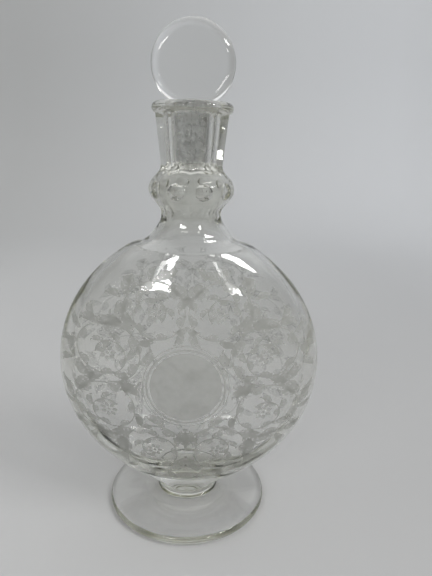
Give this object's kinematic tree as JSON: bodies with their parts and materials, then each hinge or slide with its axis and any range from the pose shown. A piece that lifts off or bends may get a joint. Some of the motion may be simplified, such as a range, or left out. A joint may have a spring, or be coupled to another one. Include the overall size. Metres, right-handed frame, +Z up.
{
  "type": "crystal decanter",
  "caption": "Footed glass decanter with a flattened round bowl, a panel-cut neck with a ring, a thick lip and a disc stopper that lifts out.",
  "frame": {"origin": "centre of the plane that the foot rests on, under the neck's axis", "axes": "+Z up along the neck's axis, X across the broad faces, +Y through the thin way of the bowl, front face towards -Y"},
  "size_m": [0.1476, 0.0934, 0.2676],
  "materials": {
    "clear_crystal": "polished clear crystal, etched with foliage on the bowl's broad faces",
    "stopper_crystal": "polished disc over a plug ground matt"
  },
  "bodies": {
    "decanter": {"foot": "clear_crystal", "bowl": "clear_crystal", "lip_ring": "clear_crystal"},
    "stopper": {"stopper": "stopper_crystal"}
  },
  "joints": [
    {"name": "stopper_lift", "type": "slide", "parent": "decanter", "child": "stopper", "axis": [0, 0, 1], "range_m": [0, 0.045]}
  ]
}
